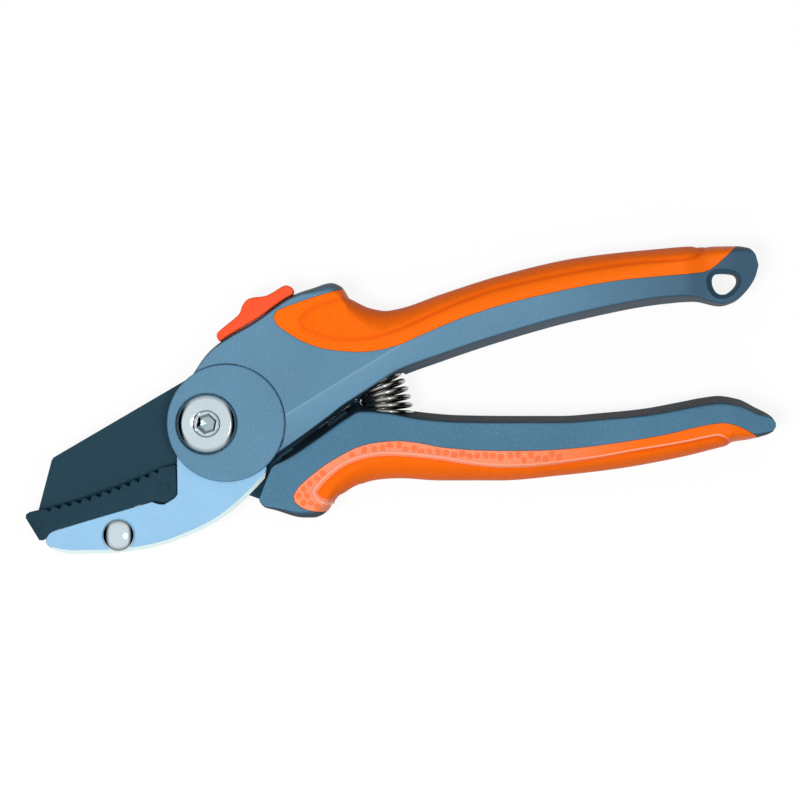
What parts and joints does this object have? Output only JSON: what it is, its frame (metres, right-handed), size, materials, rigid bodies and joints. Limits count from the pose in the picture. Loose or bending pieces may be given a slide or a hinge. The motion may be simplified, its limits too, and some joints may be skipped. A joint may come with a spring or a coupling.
{
  "type": "pruning shears",
  "caption": "Anvil secateurs with a coated blade, serrated anvil insert, fan-shaped return spring, sliding lock and soft-gripped plastic handles.",
  "frame": {"origin": "on the pivot axis, at the flat end of the pivot nut", "axes": "+X along the lower handle from the pivot to the handle ends, +Y from the lower handle towards the upper handle, +Z along the pivot axis from the nut to the bolt head"},
  "size_m": [0.2092, 0.0859, 0.019],
  "materials": {
    "slate_plastic": "fine-textured slate blue handle plastic",
    "orange_grip": "soft orange overmould with a pebbled texture",
    "satin_steel": "satin plated plate with brushed grain",
    "anvil_nylon": "dark moulded nylon",
    "coated_steel": "dark non-stick coating",
    "chrome": "polished chrome",
    "spring_steel": "dark polished spring wire",
    "red_lock": "satin red-orange plastic",
    "bumper_rubber": "black rubber",
    "washer_plastic": "white low-friction plastic",
    "bronze": "sintered bronze bush",
    "pin_steel": "ground steel"
  },
  "bodies": {
    "upper_handle": {"upper_handle_body": "slate_plastic", "upper_grip": "orange_grip", "anvil_arm_front": "satin_steel", "anvil_arm_rear": "satin_steel", "anvil_insert": "anvil_nylon", "anvil_insert_pin_1": "pin_steel", "anvil_insert_pin_2": "pin_steel", "anvil_rivet": "chrome", "arm_pin_1": "pin_steel", "arm_pin_2": "pin_steel", "pivot_disc_front": "slate_plastic", "pivot_disc_rear": "slate_plastic", "pivot_bolt": "chrome", "pivot_nut": "chrome", "return_spring": "spring_steel"},
    "lower_handle": {"lower_handle_body": "slate_plastic", "lower_grip": "orange_grip", "blade": "coated_steel", "tang_pin_1": "pin_steel", "tang_pin_2": "pin_steel", "pivot_bush": "bronze", "friction_washer_front": "washer_plastic", "friction_washer_rear": "washer_plastic", "stop_bumper": "bumper_rubber"},
    "lock": {"lock_slider": "red_lock", "lock_catch": "pin_steel", "lock_pin": "pin_steel"}
  },
  "joints": [
    {"name": "pivot", "type": "hinge", "parent": "upper_handle", "child": "lower_handle", "pos_m": [0, 0, 0], "axis": [0, 0, -1], "range_deg": [0, 25], "deforming": ["return_spring"]},
    {"name": "lock_slide", "type": "slide", "parent": "upper_handle", "child": "lock", "axis": [-0.848, -0.5299, 0], "range_m": [0, 0.004]}
  ]
}
